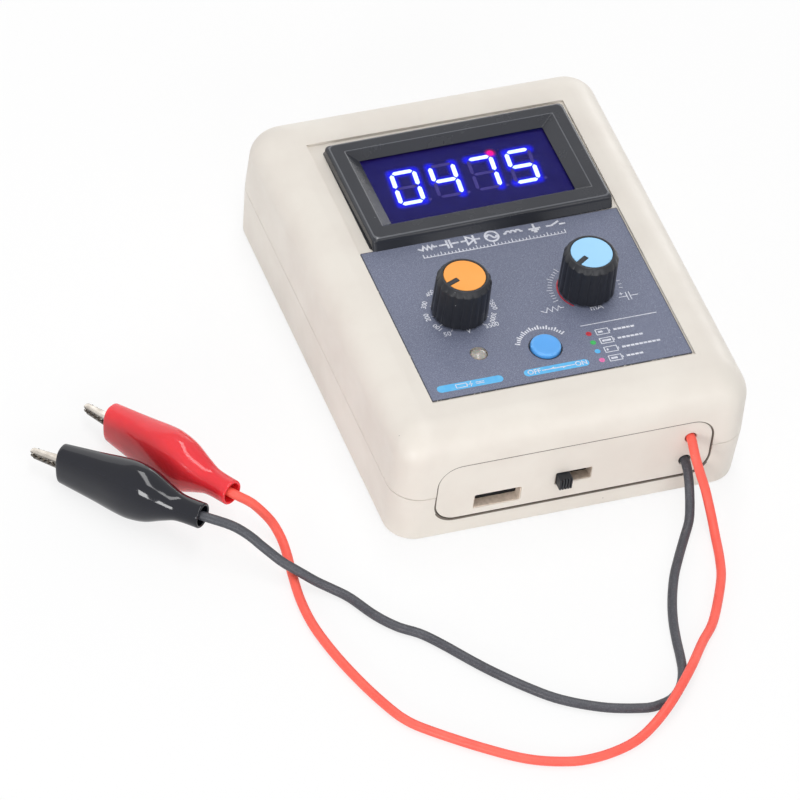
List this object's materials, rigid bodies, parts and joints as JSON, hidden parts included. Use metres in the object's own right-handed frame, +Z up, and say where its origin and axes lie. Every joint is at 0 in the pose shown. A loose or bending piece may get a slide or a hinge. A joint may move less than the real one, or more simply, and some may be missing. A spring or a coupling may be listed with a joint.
{
  "type": "withstand voltage tester",
  "caption": "Hand-held tester in a pale rounded case: panel meter, ribbed knobs with coloured caps, push button, slide switch and two leads with alligator clips.",
  "frame": {"origin": "middle of the flat underside of the case, at the level of the table", "axes": "+X to the right of someone reading the meter, +Y to the back of the case (the meter's end), +Z up; the leads leave towards -Y"},
  "size_m": [0.2101, 0.245, 0.0571],
  "materials": {
    "case_plastic": "fine satin ABS",
    "label_film": "finely grained printed film",
    "bezel_plastic": "satin",
    "window_tint": "clear tinted",
    "display_face": "lit segments",
    "circuit_board": "solder mask",
    "knob_plastic": "satin",
    "orange_cap": "satin",
    "light_blue_cap": "satin",
    "blue_button": "moulded",
    "bright_metal": "nickel plated",
    "black_plastic": "moulded",
    "ferrite": "sintered",
    "winding_tape": "taped copper winding",
    "capacitor_case": "dipped",
    "cell_sleeve": "shrink sleeve",
    "terminal_block": "moulded",
    "status_light": "clear epoxy",
    "red_lead": "soft silicone jacket",
    "red_vinyl": "glossy vinyl",
    "black_lead": "soft silicone jacket",
    "black_vinyl": "glossy vinyl"
  },
  "bodies": {
    "case": {"top_shell": "case_plastic", "bottom_shell": "case_plastic", "front_plate": "case_plastic", "rear_plate": "case_plastic", "panel_label": "label_film", "meter_housing": "bezel_plastic", "meter_lens": "window_tint", "digit_block": "display_face", "meter_board": "circuit_board", "control_board": "circuit_board", "main_board": "circuit_board", "status_led": "status_light", "button_switch": "black_plastic", "slide_switch_body": "bright_metal", "usb_c_socket": "bright_metal", "output_terminal": "terminal_block", "transformer_core": "ferrite", "transformer_winding": "winding_tape", "hv_capacitor_1": "capacitor_case", "hv_capacitor_2": "capacitor_case", "cell_holder": "black_plastic", "lithium_cell": "cell_sleeve", "red_lead": "red_lead", "black_lead": "black_lead", "case_screw_1": "bright_metal", "control_board_screw_1": "bright_metal", "main_board_screw_1": "bright_metal", "case_screw_2": "bright_metal", "control_board_screw_2": "bright_metal", "main_board_screw_2": "bright_metal", "case_screw_3": "bright_metal", "control_board_screw_3": "bright_metal", "main_board_screw_3": "bright_metal", "case_screw_4": "bright_metal", "control_board_screw_4": "bright_metal", "main_board_screw_4": "bright_metal", "left_potentiometer": "bright_metal", "left_nut": "bright_metal", "right_potentiometer": "bright_metal", "right_nut": "bright_metal", "red_clip_boot": "red_vinyl", "red_clip_lower_jaw": "bright_metal", "red_clip_pin": "bright_metal", "red_clip_spring": "bright_metal", "black_clip_boot": "black_vinyl", "black_clip_lower_jaw": "bright_metal", "black_clip_pin": "bright_metal", "black_clip_spring": "bright_metal"},
    "left_knob_turn": {"left_knob": "knob_plastic", "left_knob_cap": "orange_cap", "left_shaft": "bright_metal"},
    "right_knob_turn": {"right_knob": "knob_plastic", "right_knob_cap": "light_blue_cap", "right_shaft": "bright_metal"},
    "button": {"push_button": "blue_button"},
    "switch_lever": {"slide_switch_lever": "black_plastic"},
    "red_jaw": {"red_clip_upper_jaw": "bright_metal"},
    "black_jaw": {"black_clip_upper_jaw": "bright_metal"}
  },
  "joints": [
    {"name": "left_knob_hinge", "type": "hinge", "parent": "case", "child": "left_knob_turn", "pos_m": [-0.0211, -0.02215, 0.0571], "axis": [0, 0, 1], "range_deg": [-261, 39]},
    {"name": "right_knob_hinge", "type": "hinge", "parent": "case", "child": "right_knob_turn", "pos_m": [0.0201, -0.02215, 0.0571], "axis": [0, 0, 1], "range_deg": [-272, 28]},
    {"name": "button_press", "type": "slide", "parent": "case", "child": "button", "axis": [0, 0, -1], "range_m": [0, 0.0008], "stiffness_N_per_m": 3000},
    {"name": "switch_slide", "type": "slide", "parent": "case", "child": "switch_lever", "axis": [1, 0, 0], "range_m": [0, 0.007]},
    {"name": "red_jaw_hinge", "type": "hinge", "parent": "case", "child": "red_jaw", "pos_m": [-0.11546, -0.02643, 0.00947], "axis": [0.8746, 0.4848, 0], "range_deg": [0, 9], "stiffness_Nm_per_rad": 0.05, "springref_deg": -17.19, "deforming": ["red_clip_spring"]},
    {"name": "black_jaw_hinge", "type": "hinge", "parent": "case", "child": "black_jaw", "pos_m": [-0.13198, -0.03668, 0.00947], "axis": [0.7547, 0.6561, 0], "range_deg": [0, 9], "stiffness_Nm_per_rad": 0.05, "springref_deg": -17.19, "deforming": ["black_clip_spring"]}
  ]
}
